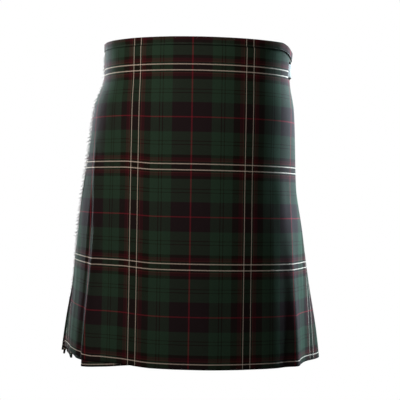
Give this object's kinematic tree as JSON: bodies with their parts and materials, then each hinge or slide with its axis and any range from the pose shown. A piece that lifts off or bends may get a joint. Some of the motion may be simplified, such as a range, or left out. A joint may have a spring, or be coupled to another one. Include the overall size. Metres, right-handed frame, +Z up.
{
  "type": "scottish kilt",
  "caption": "Knee-length wrap kilt in its worn shape: flat fringed apron over an under apron, knife pleats round the back, bound waist, and a leather strap and buckle at each side.",
  "frame": {"origin": "centre of the wearer's waist, inside the kilt, 63 mm below its top edge", "axes": "+Z up, -Y to the front (the outer apron), +X to the wearer's left"},
  "size_m": [0.5243, 0.3762, 0.621],
  "materials": {
    "tartan": "dark check twill, matte",
    "band_cloth": "dark maroon cloth, matte",
    "fringe_yarn": "loose yarn, matte",
    "leather": "black, satin",
    "metal": "bright"
  },
  "bodies": {
    "root": {"apron_outer": "tartan", "apron_under": "tartan", "pleats_back": "tartan", "band_apron": "band_cloth", "band_under": "band_cloth", "band_back": "band_cloth", "fringe_apron": "fringe_yarn", "strap_right": "leather", "strap_left": "leather", "chape_right": "leather", "chape_left": "leather", "buckle_frame_right": "metal", "buckle_frame_left": "metal", "buckle_prong_right": "metal", "buckle_prong_left": "metal"}
  },
  "joints": []
}
